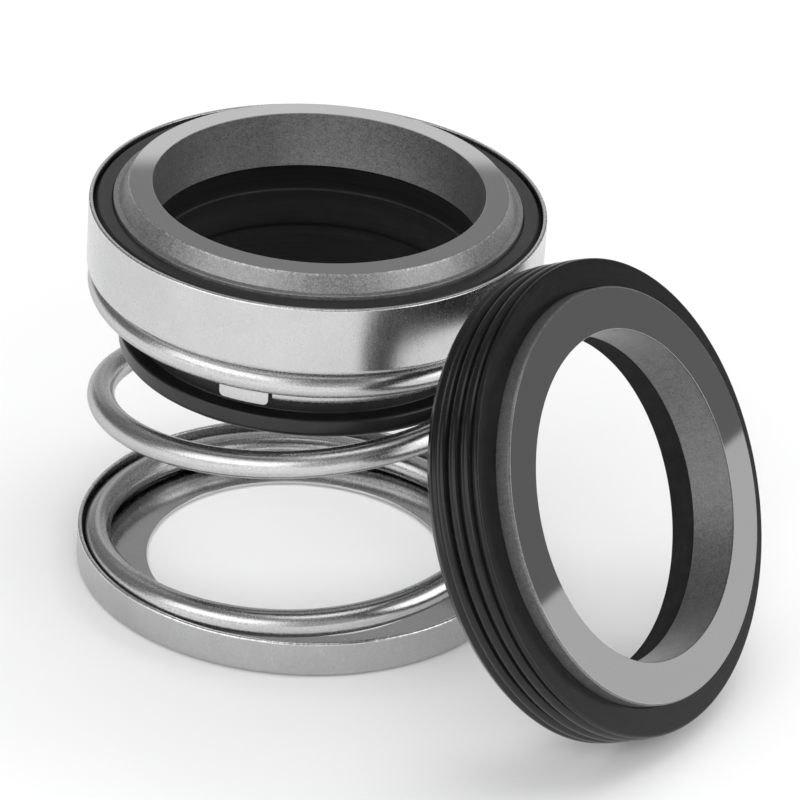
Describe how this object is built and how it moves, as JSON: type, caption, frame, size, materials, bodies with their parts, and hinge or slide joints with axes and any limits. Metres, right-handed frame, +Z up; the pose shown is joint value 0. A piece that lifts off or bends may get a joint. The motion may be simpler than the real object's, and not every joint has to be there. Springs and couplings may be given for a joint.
{
  "type": "component mechanical seal",
  "caption": "Pump shaft seal: spring-loaded rotating head with rubber bellows and hard face ring, standing on its spring ring, with its mating seat ring in a ribbed rubber cup leaning on it.",
  "frame": {"origin": "centre of the lower ring's hole on the table plane, on the head's axis", "axes": "+Z up along the head's axis, from the spring ring to the face ring; +X towards the leaning seat's side, -Y towards the picture's viewer"},
  "size_m": [0.0942, 0.092, 0.0603],
  "materials": {
    "pressed_steel": "satin",
    "spring_steel": "polished drawn wire",
    "case_steel": "satin",
    "bellows_rubber": "matte",
    "face_carbide": "lapped face, as-fired sides",
    "seat_carbide": "lapped face, as-fired sides",
    "cup_rubber": "matte"
  },
  "bodies": {
    "stand": {"lower_ring": "pressed_steel", "spring": "spring_steel", "seat_ring": "seat_carbide", "seat_cup": "cup_rubber"},
    "head": {"case": "case_steel", "bellows": "bellows_rubber", "face_ring": "face_carbide"}
  },
  "joints": [
    {"name": "head_slide", "type": "slide", "parent": "stand", "child": "head", "axis": [0, 0, 1], "range_m": [-0.012, 0], "stiffness_N_per_m": 5400, "deforming": ["spring"]}
  ]
}
